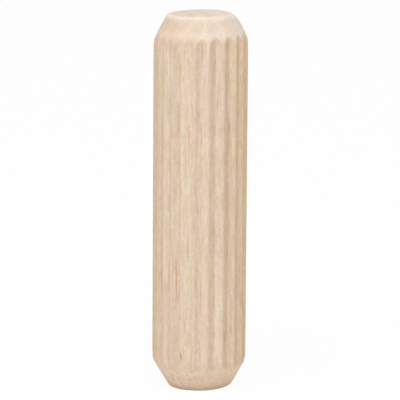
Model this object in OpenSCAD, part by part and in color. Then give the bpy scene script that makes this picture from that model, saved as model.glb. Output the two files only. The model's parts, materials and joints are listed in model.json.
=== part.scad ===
// Fluted wooden dowel pin: a rod is fluted along its whole length, cut off, and chamfered at both ends.
// The pin stands on one end face, with its axis on Z and its origin at the centre of that face.

/* [Pin] */
// Diameter over the lands between the flutes
pin_d = 10; // [6:0.5:16]
// Length from end face to end face
pin_len = 40; // [20:1:80]

/* [Ends] */
// Length of the lower chamfer along the axis
lower_chamfer_len = 3; // [1.5:0.05:4]
// Slope of the lower chamfer away from the axis, in degrees
lower_chamfer_angle = 30; // [15:1:40]
// Length of the upper chamfer along the axis
upper_chamfer_len = 2.65; // [1.5:0.05:4]
// Slope of the upper chamfer away from the axis, in degrees
upper_chamfer_angle = 28; // [15:1:40]
// Radius of the worn rim round each end face
rim_r = 0.6; // [0.2:0.05:1.2]
// Radius of the shoulder where a chamfer meets the lands
shoulder_r = 0.8; // [0.3:0.1:5]

/* [Flutes] */
// Number of flutes round the pin
flute_count = 22; // [12:1:28]
// Width of the land left standing between two flutes
land_w = 0.2; // [0.1:0.05:0.5]
// Depth of a flute below a straight edge laid across its two lands
flute_depth = 0.25; // [0.15:0.01:0.4]
// Radius of the round bottom between a flute's two straight flanks
nose_r = 0.2; // [0.05:0.05:0.25]
// How far the lands stray from even spacing, which widens and narrows three times round, in degrees
spacing_drift = 3.4; // [0:0.1:4]
// Direction round the pin in which they stray most, in degrees
drift_turn = 21.6; // [0:0.1:120]

/* [Hidden] */
$fn = 96;

// Straight steps that each rounded corner is drawn in
arc_steps = 5;
// How far the fluting cutters reach past the pin
overrun = 1;

pin_r = pin_d / 2;
flute_pitch = 360 / flute_count;
land_angle = 2 * asin(land_w / pin_d);

// Points along an arc from angle a0 to angle a1
function arc(center, r, a0, a1) =
    [for (i = [0:arc_steps]) let (a = a0 + (a1 - a0) * i / arc_steps) center + r * [cos(a), sin(a)]];

// Outline of one end, from its face at height 0 out to the lands
function end_edge(chamfer_len, chamfer_angle) =
    let (end_r = pin_r - chamfer_len * tan(chamfer_angle))
    let (rim_center = [end_r - rim_r * tan((90 - chamfer_angle) / 2), rim_r])
    let (shoulder_center = [pin_r - shoulder_r, chamfer_len + shoulder_r * tan(chamfer_angle / 2)])
    concat(
        arc(rim_center, rim_r, -90, -chamfer_angle),
        arc(shoulder_center, shoulder_r, -chamfer_angle, 0)
    );

// Angle at which a land lies that even spacing would put at angle a, found in a few tries
function drifted(a, tries = 6) =
    tries == 0 ? a : a - spacing_drift * cos(3 * (drifted(a, tries - 1) - drift_turn));

lower_edge = end_edge(lower_chamfer_len, lower_chamfer_angle);
upper_edge = end_edge(upper_chamfer_len, upper_chamfer_angle);
// The upper end is drawn from its lands in to its face
upper_edge_down = [for (i = [len(upper_edge) - 1:-1:0]) [upper_edge[i].x, pin_len - upper_edge[i].y]];

// The pin as turned, before fluting
module turned_blank() {
    rotate_extrude()
        polygon(concat([[0, 0]], lower_edge, upper_edge_down, [[0, pin_len]]));
}

// Section of one fluting cutter, with its nose towards the axis, for a flute this wide from its middle to a land
module cutter_section(half_angle) {
    half_w = pin_r * sin(half_angle);
    nose_x = pin_r * cos(half_angle) - flute_depth + nose_r;
    nose_drop = flute_depth - nose_r;
    // A flank starts on the round nose, which it touches, and passes through the edge of the land
    flank_angle = asin(nose_r / norm([half_w, nose_drop])) + atan2(nose_drop, half_w);
    flank_len = half_w / cos(flank_angle) + overrun;
    tip_x = nose_x - nose_r * cos(flank_angle) + flank_len * sin(flank_angle);
    tip_y = nose_r * sin(flank_angle) + flank_len * cos(flank_angle);
    back_x = pin_r + overrun;
    polygon(concat(
        arc([nose_x, 0], nose_r, 180 + flank_angle, 180 - flank_angle),
        [[tip_x, tip_y], [back_x, tip_y], [back_x, -tip_y], [tip_x, -tip_y]]
    ));
}

// One cutter's path along the whole pin, between the lands at angles a0 and a1
module flute_cut(a0, a1) {
    rotate((a0 + a1) / 2)
        translate([0, 0, -overrun])
            linear_extrude(pin_len + 2 * overrun)
                cutter_section((a1 - a0 - land_angle) / 2);
}

// Each flute runs out on both chamfers in an arch, clear of the end faces
module dowel_pin() {
    color("#dec9b1")
        difference() {
            turned_blank();
            for (i = [0:flute_count - 1])
                flute_cut(drifted(i * flute_pitch), drifted((i + 1) * flute_pitch));
        }
}

dowel_pin();
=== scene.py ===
import json
import math
import random

import bmesh
import bpy
from mathutils import Matrix, Vector, noise


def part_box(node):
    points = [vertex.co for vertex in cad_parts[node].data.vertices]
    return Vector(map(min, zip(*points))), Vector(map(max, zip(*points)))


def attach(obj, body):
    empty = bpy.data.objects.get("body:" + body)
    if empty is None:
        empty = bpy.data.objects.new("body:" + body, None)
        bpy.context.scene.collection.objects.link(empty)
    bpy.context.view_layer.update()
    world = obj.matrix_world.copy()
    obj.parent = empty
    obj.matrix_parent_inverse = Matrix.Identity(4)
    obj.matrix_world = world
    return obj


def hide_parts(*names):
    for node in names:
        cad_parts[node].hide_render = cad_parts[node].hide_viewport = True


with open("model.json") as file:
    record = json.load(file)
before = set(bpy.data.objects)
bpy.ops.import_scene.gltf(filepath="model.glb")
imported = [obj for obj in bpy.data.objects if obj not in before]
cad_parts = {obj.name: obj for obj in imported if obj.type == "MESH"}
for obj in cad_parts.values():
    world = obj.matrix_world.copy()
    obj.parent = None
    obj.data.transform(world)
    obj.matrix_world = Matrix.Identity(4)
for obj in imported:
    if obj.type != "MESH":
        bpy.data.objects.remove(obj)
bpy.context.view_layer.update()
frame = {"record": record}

mm = 0.001


def srgb(hexColor):
    # sRGB hex to the linear colour that the sockets take
    parts = [int(hexColor[i:i + 2], 16) / 255 for i in (1, 3, 5)]
    return (*[c / 12.92 if c <= 0.04045 else ((c + 0.055) / 1.055) ** 2.4 for c in parts], 1.0)


def addNode(tree, kind, settings=None, links=None):
    # settings fill sockets or node options by name, links join a socket to another node's output
    node = tree.nodes.new(kind)
    for name, value in (settings or {}).items():
        if isinstance(name, int) or name in node.inputs:
            node.inputs[name].default_value = value
        else:
            setattr(node, name, value)
    for name, source in (links or {}).items():
        tree.links.new(source, node.inputs[name])
    return node


def newTree(name):
    material = bpy.data.materials.new(name)
    material.use_nodes = True
    material.node_tree.nodes.clear()
    return material, material.node_tree


def direction(azimuth, elevation):
    # from the pin towards a place round it; azimuth 0 is the -Y side and grows to the right
    level = math.cos(elevation)
    return Vector((math.sin(azimuth) * level, -math.cos(azimuth) * level, math.sin(elevation)))


def bell(distance, width):
    # 1 at no distance, fading away on both sides
    return math.exp(-(distance / width) ** 2)


def limited(value):
    return min(max(value, 0.0), 1.0)


# The camera, fitted to the photograph's outline on its 400 pixel square
camera = {
    "azimuth": math.radians(-4.4),
    "elevation": math.radians(10.2),
    "roll": math.radians(0.383),
    "distance": 355 * mm,
    "focalPixels": 3354,
    "framePixels": 400,
    "sensor": 36.0,
    "aimRight": 0.024 * mm,
    "aimUp": 0.041 * mm,
    "nearClip": 10 * mm,
    "farClip": 20.0,
}

# The pin: turned, fluted along its whole length and chamfered, then a little worn
pin = {
    "fluteCount": 22,
    "landWidth": 0.20 * mm,
    "landsPressed": 0.02 * mm,           # the lands stand this much under size
    "fluteDepth": 0.25 * mm,
    "fluteNose": 0.09 * mm,              # half width over which a flute's bottom is round
    "fluteReach": 0.75 * mm,             # no flute shows further in than this
    "spacingDrift": math.radians(3.4),   # the lands stray from even spacing by up to this,
    "driftWaves": 3,                     # this many times round the pin,
    "driftTurn": math.radians(21.6),     # and most of all in this direction
    "depthSpread": 0.08,                 # flutes differ this much in depth
    "turnSpread": math.radians(0.3),     # and this much in place
    "rubbedEdge": 0.02 * mm,             # how far the cut edges are rubbed round
    "rightStart": 0.25,                  # the right side starts this share of the radius left of the middle
    # where the flutes run out, measured from the shoulder
    "runOutReach": 1.2 * mm,             # how far their ends differ from the rest
    "landReach": 0.4 * mm,               # how far along the body the lands are rubbed
    "bluntEnd": 0.3 * mm,                # extra roundness of the flutes' bottoms
    "tipInset": 0.15 * mm,               # their brown ends lie this far out on the chamfer
    "tipWidth": 0.45 * mm,
    "fringeInset": 0.8 * mm,             # and the torn fibres this far
    "fringeWidth": 0.45 * mm,
    "cutStart": 0.4 * mm,                # a chamfer's colour sets in this far along the body
    "cutFade": 1.1 * mm,                 # and is full after this length
    "valleyWidth": 0.08 * mm,            # half width of the line along a flute's bottom
    "crushedTurn": math.radians(-64),    # the flutes' ends are brownest on this side
    "crushedFocus": 1.5,                 # and fade away from it by this power
    "crushedSpread": (0.6, 1.0),
    # wear of the ends
    "cornerReach": 0.6 * mm,             # how far a rubbed rim spreads
    "shoulderReach": 0.8 * mm,           # and a rubbed shoulder
    "rubShares": (0.8, 0.6),             # a rim is rubbed off towards the axis and along it in these shares
    "shiftFade": 10 * mm,                # a chamfer's shift dies away over this length of the body
    "surfaceWave": 0.010 * mm,           # unevenness left by the tools
    "waveSize": (1.5 * mm, 6 * mm),      # its size across and along the pin
    "axisGap": 0.5 * mm,                 # too near the axis to tell a side
    # mesh
    "columnsPerFlute": 32,
    "rows": {"face": 8, "rim": 8, "chamfer": 18, "shoulder": 8, "body": 40},
    "mergeGap": 0.002 * mm,
    "seed": 7,
    # shift and lean are to the right and away from the camera
    "lowerEnd": {
        "chamfer": 2.92 * mm,
        "angle": math.radians(30),
        "rim": 0.5 * mm,
        "shoulder": 1.4 * mm,
        "shift": (0.0, 0.0),                     # how far the whole chamfer sits off centre
        "lean": (0.12 * mm, 0.0),                # how far it runs off centre at the rim
        "faceTilt": math.radians(1.1),           # the saw cut is this much out of square, right side up
        "softCorner": 0.08 * mm,                 # the rim is rubbed off by this much on its right
        "softShoulder": (0.03 * mm, 0.0),        # the shoulder by this much on the left and right
        "softRunOut": (0.12 * mm, 0.12 * mm),    # and the flutes' ends by this much on the left and right
        "deepEnd": -0.03 * mm,                   # how much deeper the right flutes are where they end
        "paleRim": 0.0,
        "paleFringe": 0.2,                       # fibres torn where the flutes end
        # painted shadow along the lower rim
        "darkRim": 0.8,
        "rimReach": 0.7 * mm,                    # how far the rim's colour spreads
        "crushed": 0.5,                          # how brown the flutes' ends are
        "cutMark": "lowerCut",
    },
    "upperEnd": {
        "chamfer": 2.66 * mm,
        "angle": math.radians(28.2),
        "rim": 0.3 * mm,
        "shoulder": 1.8 * mm,
        "shift": (0.06 * mm, 0.02 * mm),
        "lean": (0.0, 0.0),
        "faceTilt": math.radians(1.5),
        "softCorner": 0.24 * mm,
        "softShoulder": (0.0, 0.05 * mm),
        "softRunOut": (0.24 * mm, 0.06 * mm),
        "deepEnd": 0.12 * mm,
        # partly a painted highlight along the upper rim, partly pale broken fibres
        "paleRim": 0.8,
        "paleFringe": 0.24,
        "darkRim": 0.0,
        "rimReach": 0.35 * mm,
        "crushed": 0.6,
        "cutMark": "upperCut",
    },
}
lowerEnd = pin["lowerEnd"]
upperEnd = pin["upperEnd"]
# Marks on the wood, from 0 to 1: painted shade on the flute walls that face right, away from the lamps,
# the line along a flute's bottom, crushed brown flute ends, painted shadow along the lower rim, pale broken
# fibres with a painted highlight along the upper rim, and fibres cut across on each chamfer
wearAndShadeMarks = ("shadedWall", "valley", "stain", "rimShadow", "pale", "upperCut", "lowerCut")

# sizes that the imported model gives
pinNode = "dowel_pin"
lowCorner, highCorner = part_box(pinNode)
pinLength = highCorner.z - lowCorner.z
shank = next(m for m in frame["record"]["mounts"] if m["name"] == "lower_half")
landRadius = shank["dims"]["r_mm"] * mm - pin["landsPressed"]
print("frame: pin", round(pinLength / mm, 2), "mm long,", round(2 * landRadius / mm, 2), "mm over the lands")


def arcPoints(center, radius, start, stop, count):
    angles = [start + (stop - start) * i / count for i in range(count + 1)]
    return [Vector((center[0] + radius * math.cos(a), 0, center[1] + radius * math.sin(a))) for a in angles]


def endRadius(end):
    # where the chamfer would meet the end face if the rim were sharp
    return landRadius - end["chamfer"] * math.tan(end["angle"])


def endOutline(end):
    # from the middle of an end face out to the lands, with the face at height 0
    slope, rim, shoulder = end["angle"], end["rim"], end["shoulder"]
    rows = pin["rows"]
    rimX = endRadius(end) - rim * math.tan((math.pi / 2 - slope) / 2)
    shoulderZ = end["chamfer"] + shoulder * math.tan(slope / 2)
    face = [Vector((rimX * i / rows["face"], 0, 0)) for i in range(rows["face"])]
    rimArc = arcPoints((rimX, rim), rim, -math.pi / 2, -slope, rows["rim"])
    shoulderArc = arcPoints((landRadius - shoulder, shoulderZ), shoulder, -slope, 0, rows["shoulder"])
    cone = [rimArc[-1].lerp(shoulderArc[0], i / rows["chamfer"]) for i in range(1, rows["chamfer"])]
    return face + rimArc + cone + shoulderArc


def turnBlank(bm):
    # half the pin's section as one wire, spun over one flute and then copied round the axis
    lower = endOutline(lowerEnd)
    upper = [Vector((p.x, 0, pinLength - p.z)) for p in reversed(endOutline(upperEnd))]
    bodyRows = pin["rows"]["body"]
    body = [lower[-1].lerp(upper[0], i / bodyRows) for i in range(1, bodyRows)]
    outline = lower + body + upper
    tip = bmesh.ops.create_vert(bm, co=outline[0])["vert"][0]
    for point in outline[1:]:
        tip = bmesh.ops.extrude_vert_indiv(bm, verts=[tip])["verts"][0]
        tip.co = point
    pitch = 2 * math.pi / pin["fluteCount"]
    bmesh.ops.spin(
        bm, geom=list(bm.verts) + list(bm.edges),
        cent=(0, 0, 0), axis=(0, 0, 1), dvec=(0, 0, 0),
        angle=pitch, steps=pin["columnsPerFlute"],
        use_merge=False, use_normal_flip=False, use_duplicate=False)
    bmesh.ops.spin(
        bm, geom=list(bm.verts) + list(bm.edges) + list(bm.faces),
        cent=(0, 0, 0), axis=(0, 0, 1), dvec=(0, 0, 0),
        angle=2 * math.pi - pitch, steps=pin["fluteCount"] - 1,
        use_merge=False, use_normal_flip=False, use_duplicate=True)
    bmesh.ops.remove_doubles(bm, verts=bm.verts, dist=pin["mergeGap"])


def softMin(a, b, softness):
    # the smaller of two radii, with the edge between them rubbed round
    near = max(softness - abs(a - b), 0.0) / softness
    return min(a, b) - near * near * softness / 4


def drift(angle):
    # how far the spacing of the flutes has strayed at this angle
    return pin["spacingDrift"] * math.cos(pin["driftWaves"] * (angle - pin["driftTurn"]))


def landAngle(even):
    # where a land lies that even spacing would put at this angle, found in a few tries
    angle = even
    for i in range(6):
        angle = even - drift(angle)
    return angle


def planFlutes():
    rng = random.Random(pin["seed"])
    pitch = 2 * math.pi / pin["fluteCount"]
    edge = math.asin(pin["landWidth"] / 2 / landRadius)
    flutes = []
    for i in range(pin["fluteCount"]):
        start, stop = landAngle(i * pitch), landAngle((i + 1) * pitch)
        facing = max(0.0, math.cos(start - pin["crushedTurn"])) ** pin["crushedFocus"]
        flutes.append({
            "middle": (start + stop) / 2 + rng.uniform(-1, 1) * pin["turnSpread"],
            "half": (stop - start) / 2 - edge,
            "depth": pin["fluteDepth"] * (1 + rng.uniform(-1, 1) * pin["depthSpread"]),
            "crushed": rng.uniform(*pin["crushedSpread"]) * facing,
        })
    return flutes


def fluteRadius(turn, half, depth, nose):
    # distance from the axis to a flute's wall, turned this far from its middle: straight flanks, round bottom
    slope = depth / (math.hypot(landRadius * math.sin(half), nose) - nose)
    bottom = landRadius * math.cos(half) - depth
    r = landRadius
    for i in range(3):    # the wall's height needs its own radius, so a few tries
        r = (bottom + slope * (math.hypot(r * math.sin(turn), nose) - nose)) / math.cos(turn)
    return r


def nearestEnd(v):
    # the end that a vertex belongs to, how far its face is, and which way that face looks
    if v.co.z > pinLength / 2:
        return upperEnd, pinLength - v.co.z, 1
    return lowerEnd, v.co.z, -1


def markEnd(v, marks):
    # rim, torn fibres and cut fibres, which show in the flutes and on the lands alike
    end, fromEnd, up = nearestEnd(v)
    fromShoulder = fromEnd - end["chamfer"]
    r = math.hypot(v.co.x, v.co.y)
    atRim = bell(math.hypot(r - endRadius(end), fromEnd), end["rimReach"])
    torn = end["paleFringe"] * bell(fromShoulder + pin["fringeInset"], pin["fringeWidth"])
    # pale along the upper rim, partly a painted highlight and partly broken fibres; pale torn fibres near the
    # shoulder
    v[marks["pale"]] = max(end["paleRim"] * atRim, torn)
    # painted shadow along the lower rim
    v[marks["rimShadow"]] = end["darkRim"] * atRim
    v[marks[end["cutMark"]]] = limited((pin["cutStart"] - fromShoulder) / pin["cutFade"])


def cutFlutes(bm):
    flutes = planFlutes()
    count = pin["fluteCount"]
    marks = {name: bm.verts.layers.float.new(name) for name in wearAndShadeMarks}
    for v in bm.verts:
        markEnd(v, marks)
        r = math.hypot(v.co.x, v.co.y)
        if r < landRadius - pin["fluteReach"]:
            continue
        end, fromEnd, up = nearestEnd(v)
        fromShoulder = fromEnd - end["chamfer"]
        ending = bell(fromShoulder, pin["runOutReach"])
        nose = pin["fluteNose"] + pin["bluntEnd"] * ending
        rightward = limited(pin["rightStart"] + v.co.x / r)
        deeper = end["deepEnd"] * rightward * ending

        # the flute here and its two neighbours, of which the deepest counts
        angle = math.atan2(v.co.y, v.co.x)
        place = math.floor((angle + drift(angle)) / (2 * math.pi) * count)
        cuts = []
        for near in (place - 1, place, place + 1):
            flute = flutes[near % count]
            turn = (angle - flute["middle"] + math.pi) % (2 * math.pi) - math.pi
            cuts.append((fluteRadius(turn, flute["half"], flute["depth"] + deeper, nose), turn, flute))
        cut, turn, flute = min(cuts, key=lambda option: option[0])

        inFlute = limited(3 * (r - cut) / pin["fluteDepth"])    # full from a third of the depth
        atTip = bell(fromShoulder + pin["tipInset"], pin["tipWidth"])
        # painted shade on the flute walls that face right, away from the lamps
        v[marks["shadedWall"]] = inFlute if turn < 0 else 0.0
        v[marks["valley"]] = inFlute * bell(turn * landRadius, pin["valleyWidth"])
        v[marks["stain"]] = inFlute * end["crushed"] * flute["crushed"] * atTip

        leftSoft, rightSoft = end["softRunOut"]
        runOut = leftSoft + (rightSoft - leftSoft) * rightward
        rubbed = bell(fromShoulder, pin["runOutReach"] if fromShoulder < 0 else pin["landReach"])
        new = softMin(r, cut, pin["rubbedEdge"] + runOut * rubbed)
        v.co.x *= new / r
        v.co.y *= new / r


def wearEnds(bm):
    # chamfers off centre, saw cuts out of square, rims and shoulders rubbed rounder on one side
    right = direction(camera["azimuth"] + math.pi / 2, 0)
    away = direction(camera["azimuth"] + math.pi, 0)
    inShare, alongShare = pin["rubShares"]
    for v in bm.verts:
        end, fromEnd, up = nearestEnd(v)
        fromShoulder = fromEnd - end["chamfer"]
        slope = math.tan(end["angle"])
        r = math.hypot(v.co.x, v.co.y)
        outward = Vector((v.co.x, v.co.y, 0)) / max(r, pin["axisGap"])
        side = outward.dot(right)
        shift = right * end["shift"][0] + away * end["shift"][1]
        lean = right * end["lean"][0] + away * end["lean"][1]
        toRim = limited(1 - fromEnd / end["chamfer"])
        fade = limited(1 - fromShoulder / pin["shiftFade"])
        tilt = math.tan(end["faceTilt"]) * v.co.dot(right) * toRim
        atRim = bell(math.hypot(r - endRadius(end), fromEnd), pin["cornerReach"])
        rub = end["softCorner"] * atRim * max(0.0, side) ** 2
        leftRound, rightRound = end["softShoulder"]
        sideRound = rightRound if side > 0 else leftRound
        rounded = sideRound * side ** 2 * bell(fromShoulder, pin["shoulderReach"])
        # on a cone a sideways move and a move along the axis come to the same, so the shoulder moves along it
        v.co.z += up * outward.dot(shift) / slope * (1 - toRim) * fade + tilt
        v.co += (shift + lean) * toRim
        v.co -= outward * up * tilt * slope * min(r / endRadius(end), 1.0)
        v.co -= (outward * inShare + Vector((0, 0, up * alongShare))) * rub
        v.co -= outward * rounded


def roughen(bm):
    # the tools leave the wood a little uneven; the pin keeps its length
    across, along = pin["waveSize"]
    for v in bm.verts:
        r = math.hypot(v.co.x, v.co.y)
        if r < pin["axisGap"]:
            continue
        wave = 0.5 + 0.5 * noise.noise(Vector((v.co.x / across, v.co.y / across, v.co.z / along)))
        shrink = 1 - wave * pin["surfaceWave"] / r
        v.co.x *= shrink
        v.co.y *= shrink
    low = min(v.co.z for v in bm.verts)
    high = max(v.co.z for v in bm.verts)
    bmesh.ops.translate(bm, vec=(0, 0, -low), verts=bm.verts)
    bmesh.ops.scale(bm, vec=(1, 1, pinLength / (high - low)), verts=bm.verts)


def makePin():
    bm = bmesh.new()
    turnBlank(bm)
    cutFlutes(bm)
    wearEnds(bm)
    roughen(bm)
    bmesh.ops.recalc_face_normals(bm, faces=bm.faces)
    mesh = bpy.data.meshes.new("pin")
    bm.to_mesh(mesh)
    bm.free()
    for polygon in mesh.polygons:
        polygon.use_smooth = True
    obj = bpy.data.objects.new("pin", mesh)
    bpy.context.scene.collection.objects.link(obj)
    return obj


# Bare birch, cut and pressed along the fibre and left unfinished: pale and silky with fine lengthwise
# streaks, pinker in the middle and yellower at the sides, a few short brown flecks, chalky where it is
# cut across
birch = {
    "pale": "#ecddcc",
    "blush": "#e3ccb7",
    "yellow": "#e6cca9",
    "leftEdgeShade": "#ccae88",         # painted shade: darker along the left edge, with a greyer painted shade beside it
    "leftGreyShade": "#f7fafb",         # this one, tints, streaks and cutter marks multiply the colour under them
    "pinkTint": "#fdfbfb",
    "yellowTint": "#fdfdf7",
    "streak": "#f2ebe4",
    "cutterMark": "#eee8e2",
    "band": "#d6b999",
    "fleck": "#9c6d48",
    "pore": "#ad6a34",
    # pale broken fibres, also used as a painted highlight along the upper rim
    "fibreAndRimHighlight": "#fbeedd",
    "endGrain": "#f5eadd",
    "smoothCut": "#e2c6ae",       # the upper chamfer's left side, cut clean
    "face": "#e8dacc",
    # painted shade for the flute walls that face right
    "wallShade": "#c99b6a",
    "crushed": "#b9835b",
    # painted shadow along the lower rim
    "rimShadow": "#a8865f",
    "lowerPale": "#eed5b5",
    "lowerBrown": "#c99f75",
    "ior": 1.5,
    "roughness": (0.56, 0.72),    # it changes between these from streak to streak
    "bump": 0.6,
    "bumpHeight": 0.03,           # mm
    "noiseRange": (0.3, 0.7),     # most of a noise pattern's values lie between these
    "pinkLine": (0.7, 1.7),       # mm left of the middle, between which the pinkest line wanders
    "pith": (40.0, 6.0),          # mm from the pin's axis to the middle of the tree
    "ringSpacing": 1.901,         # mm
    "ringStretch": 40,            # the rings change this much slower along the pin than across it
    "ringWander": 3.2,
    "ringDetail": 2.0,
    "ringDetailScale": 2.2,
    # the brown pores that show: degrees round the pin, height and length in mm, lean in degrees and how dark
    "pores": [
        (-116.6, 4.1, 1.1, 5, 0.75), (-124.9, 12.4, 5.5, 1, 0.4), (-59.8, 6.1, 1.8, 5, 0.4),
        (-76, 12.7, 0.6, 7, 0.35), (-76.5, 16, 0.7, 7, 0.35), (-97.5, 19.7, 1, 7, 0.3),
        (-96, 29.9, 0.9, 7, 0.35), (-115.4, 33.5, 0.8, 7, 0.25), (-98.8, 12.2, 2.2, 2, 0.2),
    ],
    "poreWidth": 0.22,            # mm
    "poreDepth": 1.0,             # mm
    # patterns: size across and along the fibre in mm, place in mm, lean, noise detail and noise roughness
    "grain": {
        "broad": ((1.2, 1.2, 30), (0, 0, 0), 0, 2, 0.5),
        "streaks": ((0.4, 0.4, 2.6), (0, 0, 0), 0, 2, 0.6),
        "fibres": ((0.2, 0.2, 0.7), (0, 0, 0), 0, 2, 0.7),         # drawn coarser than real ones, to show
        "speckle": ((0.2, 0.2, 0.26), (6.1, 3.3, 0.2), 0, 1, 0.5),  # and so are these specks
        "flecks": ((0.38, 0.38, 3.2), (5.3, 2.9, 1.1), 0, 1, 0.5),
        "lifted": ((0.24, 0.24, 0.34), (1.3, 7.7, 3.2), 0, 0, 0.5),
        "cutterMarks": ((0.5, 0.7, 6), (0, 0, 0), math.radians(42), 2, 0.5),
        "patches": ((0.42, 0.42, 0.5), (2.2, 0.6, 4.1), 0, 2, 0.6),
        "tint": ((1.4, 1.4, 9), (4.4, 9.1, 0.7), 0, 2, 0.5),
        "wander": ((5, 5, 60), (3.1, 1.7, 0.4), 0, 1, 0.5),
    },
    # colours laid over each other: what each follows, from and to where, its share at both, where only,
    # its colour and how; those with no colour shade what lies under them
    "layers": [
        ("broad", 0.3, 0.7, 0.25, 0.7, None, "blush", "MIX"),
        ("rings", 0.5, 1.0, 0.0, 0.25, None, "band", "MIX"),
        ("offLine", 2.4 * mm, 5.6 * mm, 0.0, 0.7, None, "yellow", "MIX"),
        # painted shade along the left edge of the outline, darkest at the edge and greyer further in
        ("right", -3.8 * mm, -4.9 * mm, 0.0, 0.36, None, "leftEdgeShade", "MIX"),
        ("right", -2.6 * mm, -3.4 * mm, 0.0, 0.5, None, "leftGreyShade", "MULTIPLY"),
        ("tint", 0.6, 0.4, 0.0, 1.0, None, "pinkTint", "MULTIPLY"),
        ("tint", 0.4, 0.6, 0.0, 1.0, None, "yellowTint", "MULTIPLY"),
        ("streaks", 0.7, 0.3, 0.0, 1.0, None, "streak", "MULTIPLY"),
        ("flecks", 0.69, 0.8, 0.0, 0.35, None, "fleck", "MIX"),
        # painted shade on the flute walls that face right, growing towards the right side
        ("right", 0.0, 3.5 * mm, 0.0, 0.22, "shadedWall", "wallShade", "MIX"),
        ("flecks", 0.48, 0.66, 0.0, 0.5, "valley", "crushed", "MIX"),
        ("pores", 0.0, 1.0, 0.0, 1.0, None, "pore", "MIX"),
        ("fibres", 0.3, 0.7, 0.935, 1.065, None, None, "MULTIPLY"),
        ("speckle", 0.3, 0.7, 0.955, 1.045, None, None, "MULTIPLY"),
        ("right", -4 * mm, 3 * mm, 0.75, 0.0, "upperCut", "smoothCut", "MIX"),
        ("right", -4 * mm, 3 * mm, 0.0, 0.65, "upperCut", "endGrain", "MIX"),
        ("cutterMarks", 0.6, 0.4, 0.0, 0.4, "upperCut", "cutterMark", "MULTIPLY"),
        ("speckle", 0.5, 0.3, 0.0, 0.5, "upperCut", "smoothCut", "MIX"),
        ("up", 0.8, 1.0, 0.0, 0.5, None, "face", "MIX"),
        ("rings", 0.4, 1.0, 0.0, 0.22, "up", "band", "MIX"),
        ("speckle", 0.58, 0.75, 0.0, 0.35, "up", "band", "MIX"),
        ("patches", 0.65, 0.35, 0.15, 0.45, "lowerCut", "lowerPale", "MIX"),
        ("patches", 0.45, 0.7, 0.0, 0.25, "lowerCut", "lowerBrown", "MIX"),
        ("speckle", 0.55, 0.75, 0.0, 0.25, "lowerCut", "crushed", "MIX"),
        ("right", 1 * mm, 4 * mm, 0.0, 0.5, "lowerCut", "lowerPale", "MIX"),
        ("lifted", 0.78, 0.88, 0.0, 0.5, None, "fibreAndRimHighlight", "MIX"),
        # pale broken fibres, and along the upper rim a painted highlight as well
        ("fibres", 0.3, 0.65, 0.6, 1.0, "pale", "fibreAndRimHighlight", "MIX"),
        ("streaks", 0.25, 0.65, 0.25, 0.75, "stain", "crushed", "MIX"),
        # painted shadow along the lower rim, broken up by the streaks
        ("streaks", 0.25, 0.65, 0.35, 0.75, "rimShadow", "rimShadow", "MIX"),
    ],
}


def birchPatterns(tree):
    # all that the colours follow, by name
    place = addNode(tree, "ShaderNodeTexCoord").outputs["Object"]
    low, high = birch["noiseRange"]
    look = {}
    for name in wearAndShadeMarks:
        look[name] = addNode(tree, "ShaderNodeAttribute", {"attribute_name": name}).outputs["Fac"]
    for name, (size, offset, lean, detail, rough) in birch["grain"].items():
        spread = addNode(
            tree, "ShaderNodeMapping",
            {"vector_type": "TEXTURE", "Rotation": (0, lean, 0),
             "Scale": [s * mm for s in size], "Location": [o * mm for o in offset]},
            {"Vector": place})
        pattern = addNode(
            tree, "ShaderNodeTexNoise",
            {"Scale": 1.0, "Detail": detail, "Roughness": rough}, {"Vector": spread.outputs[0]})
        look[name] = pattern.outputs["Fac"]

    # growth rings round the pith, hardly changing along the pin; at scale 1 they lie pi / 10 apart
    ringMap = addNode(
        tree, "ShaderNodeMapping",
        {"Scale": (1 / mm, 1 / mm, 1 / mm / birch["ringStretch"]), "Location": (*birch["pith"], 0)},
        {"Vector": place})
    rings = addNode(
        tree, "ShaderNodeTexWave",
        {"wave_type": "RINGS", "rings_direction": "Z", "Scale": math.pi / 10 / birch["ringSpacing"],
         "Distortion": birch["ringWander"], "Detail": birch["ringDetail"],
         "Detail Scale": birch["ringDetailScale"]},
        {"Vector": ringMap.outputs[0]})
    look["rings"] = rings.outputs["Fac"]

    # how far to the right a place is, and how far from a wandering line left of the middle
    look["right"] = addNode(tree, "ShaderNodeSeparateXYZ", None, {0: place}).outputs["X"]
    nearest, farthest = birch["pinkLine"]
    line = addNode(
        tree, "ShaderNodeMapRange",
        {"From Min": low, "From Max": high, "To Min": nearest * mm, "To Max": farthest * mm},
        {"Value": look["wander"]})
    across = addNode(tree, "ShaderNodeMath", {"operation": "ADD"}, {0: look["right"], 1: line.outputs[0]})
    offLine = addNode(tree, "ShaderNodeMath", {"operation": "ABSOLUTE"}, {0: across.outputs[0]})
    look["offLine"] = offLine.outputs[0]

    # slanting pores, darkest in their middle half
    for turn, height, length, lean, dark in birch["pores"]:
        angle = math.radians(turn)
        spread = addNode(
            tree, "ShaderNodeMapping",
            {"vector_type": "TEXTURE", "Rotation": (math.radians(lean), 0, angle),
             "Location": (landRadius * math.cos(angle), landRadius * math.sin(angle), height * mm),
             "Scale": (birch["poreDepth"] * mm, birch["poreWidth"] / 2 * mm, length / 2 * mm)},
            {"Vector": place})
        blot = addNode(
            tree, "ShaderNodeTexGradient", {"gradient_type": "SPHERICAL"}, {"Vector": spread.outputs[0]})
        pore = addNode(
            tree, "ShaderNodeMapRange", {"From Max": 0.5, "To Max": dark}, {"Value": blot.outputs["Fac"]})
        if "pores" in look:
            pore = addNode(
                tree, "ShaderNodeMath", {"operation": "MAXIMUM"}, {0: look["pores"], 1: pore.outputs[0]})
        look["pores"] = pore.outputs[0]

    # how far the surface looks up
    normal = addNode(tree, "ShaderNodeNewGeometry").outputs["Normal"]
    look["up"] = addNode(tree, "ShaderNodeSeparateXYZ", None, {0: normal}).outputs["Z"]
    return look


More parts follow.
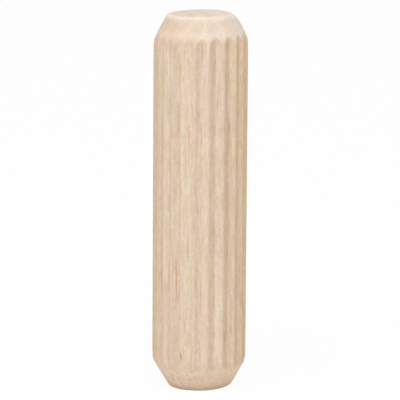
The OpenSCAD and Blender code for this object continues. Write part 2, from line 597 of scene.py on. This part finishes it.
def birchColor(tree, look):
    color = None
    for source, start, stop, startShare, stopShare, where, name, kind in birch["layers"]:
        share = addNode(
            tree, "ShaderNodeMapRange",
            {"From Min": start, "From Max": stop, "To Min": startShare, "To Max": stopShare},
            {"Value": look[source]})
        if where:
            share = addNode(
                tree, "ShaderNodeMath", {"operation": "MULTIPLY"}, {0: share.outputs[0], 1: look[where]})
        # sockets of a colour mix: 0 is the share, 6 the colour below and 7 the one on top
        over = addNode(
            tree, "ShaderNodeMix",
            {"data_type": "RGBA", "blend_type": kind, 0: 1.0,
             6: srgb(birch["pale"]), 7: srgb(birch[name or "pale"])},
            {0 if name else 7: share.outputs[0]})
        if color:
            tree.links.new(color, over.inputs[6])
        color = over.outputs[2]
    return color


def makeBirch():
    material, tree = newTree("bareBirch")
    look = birchPatterns(tree)
    low, high = birch["noiseRange"]
    smoothest, roughest = birch["roughness"]
    relief = addNode(tree, "ShaderNodeMath", {"operation": "ADD"}, {0: look["fibres"], 1: look["streaks"]})
    bump = addNode(
        tree, "ShaderNodeBump",
        {"Strength": birch["bump"], "Distance": birch["bumpHeight"] * mm}, {"Height": relief.outputs[0]})
    sheen = addNode(
        tree, "ShaderNodeMapRange",
        {"From Min": low, "From Max": high, "To Min": smoothest, "To Max": roughest},
        {"Value": look["streaks"]})
    shader = addNode(
        tree, "ShaderNodeBsdfPrincipled", {"IOR": birch["ior"]},
        {"Base Color": birchColor(tree, look), "Normal": bump.outputs[0], "Roughness": sheen.outputs[0]})
    addNode(tree, "ShaderNodeOutputMaterial", None, {"Surface": shader.outputs[0]})
    print("birch:", len(birch["layers"]), "colour layers,", len(tree.nodes), "nodes")
    return material


pinObject = makePin()
pinObject.data.materials.append(makeBirch())
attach(pinObject, "root")
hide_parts(pinNode)
print("pin:", len(pinObject.data.polygons), "faces")

# Stage: pale floor, white surroundings, a large soft key from above and a weaker fill, both a little left
stage = {
    "ambient": 0.66,
    "key": {
        "watts": 2.5,
        "size": 500 * mm,
        "distance": 900 * mm,
        "azimuth": math.radians(-15),
        "elevation": math.radians(60),
    },
    "fill": {
        "watts": 1.87,
        "size": 900 * mm,
        "distance": 1000 * mm,
        "azimuth": math.radians(-19),
        "elevation": math.radians(15),
    },
    "white": "#ffffff",
    "floorColor": "#f6f6f6",
    "floorWhite": 0.95,        # share of plain white that the floor shows to the eye
    "floorSize": 4.0,
}
pinMiddle = Vector((0, 0, pinLength / 2))


def seenByEye(tree):
    # 1 for rays from the camera and for those mirrored or let through on their way to it
    rays = addNode(tree, "ShaderNodeLightPath")
    seen = rays.outputs["Is Camera Ray"]
    for name in ("Is Glossy Ray", "Is Transmission Ray"):
        either = addNode(tree, "ShaderNodeMath", {"operation": "MAXIMUM"}, {0: seen, 1: rays.outputs[name]})
        seen = either.outputs[0]
    return seen


def makeFloor():
    # matt white paint: almost plain white to the eye, with a trace of the pin's shadow
    material, tree = newTree("mattWhitePaint")
    share = addNode(
        tree, "ShaderNodeMath", {"operation": "MULTIPLY", 1: stage["floorWhite"]}, {0: seenByEye(tree)})
    paint = addNode(tree, "ShaderNodeBsdfDiffuse", {"Color": srgb(stage["floorColor"])})
    white = addNode(tree, "ShaderNodeEmission", {"Color": srgb(stage["white"]), "Strength": 1.0})
    mix = addNode(
        tree, "ShaderNodeMixShader", None, {0: share.outputs[0], 1: paint.outputs[0], 2: white.outputs[0]})
    addNode(tree, "ShaderNodeOutputMaterial", None, {"Surface": mix.outputs[0]})
    bm = bmesh.new()
    bmesh.ops.create_grid(bm, x_segments=1, y_segments=1, size=stage["floorSize"] / 2)
    mesh = bpy.data.meshes.new("floor")
    bm.to_mesh(mesh)
    bm.free()
    mesh.materials.append(material)
    floor = bpy.data.objects.new("floor", mesh)
    bpy.context.scene.collection.objects.link(floor)


def makeWorld():
    world = bpy.data.worlds.new("whiteRoom")
    bpy.context.scene.world = world
    world.use_nodes = True
    tree = world.node_tree
    tree.nodes.clear()
    level = addNode(
        tree, "ShaderNodeMapRange", {"To Min": stage["ambient"], "To Max": 1.0}, {"Value": seenByEye(tree)})
    back = addNode(
        tree, "ShaderNodeBackground", {"Color": srgb(stage["white"])}, {"Strength": level.outputs[0]})
    addNode(tree, "ShaderNodeOutputWorld", None, {"Surface": back.outputs[0]})


def addSoftbox(name):
    box = stage[name]
    lamp = bpy.data.lights.new(name, "AREA")
    lamp.shape = "SQUARE"
    lamp.size = box["size"]
    lamp.energy = box["watts"]
    obj = bpy.data.objects.new(name, lamp)
    bpy.context.scene.collection.objects.link(obj)
    towards = direction(camera["azimuth"] + box["azimuth"], box["elevation"])
    obj.location = pinMiddle + towards * box["distance"]
    obj.rotation_euler = (-towards).to_track_quat("-Z", "Y").to_euler()


def makeCamera():
    data = bpy.data.cameras.new("camera")
    data.sensor_width = camera["sensor"]
    data.lens = camera["focalPixels"] / camera["framePixels"] * camera["sensor"]
    data.clip_start = camera["nearClip"]
    data.clip_end = camera["farClip"]
    obj = bpy.data.objects.new("camera", data)
    bpy.context.scene.collection.objects.link(obj)
    back = direction(camera["azimuth"], camera["elevation"])
    turn = back.to_track_quat("Z", "Y").to_matrix()
    aim = pinMiddle + turn @ Vector((camera["aimRight"], camera["aimUp"], 0))
    leaning = turn @ Matrix.Rotation(camera["roll"], 3, "Z")
    obj.matrix_world = Matrix.Translation(aim + back * camera["distance"]) @ leaning.to_4x4()
    bpy.context.scene.camera = obj


makeFloor()
makeWorld()
addSoftbox("key")
addSoftbox("fill")
makeCamera()
bpy.context.scene.view_settings.view_transform = "Standard"
print("stage: floor, world, two softboxes and the camera")
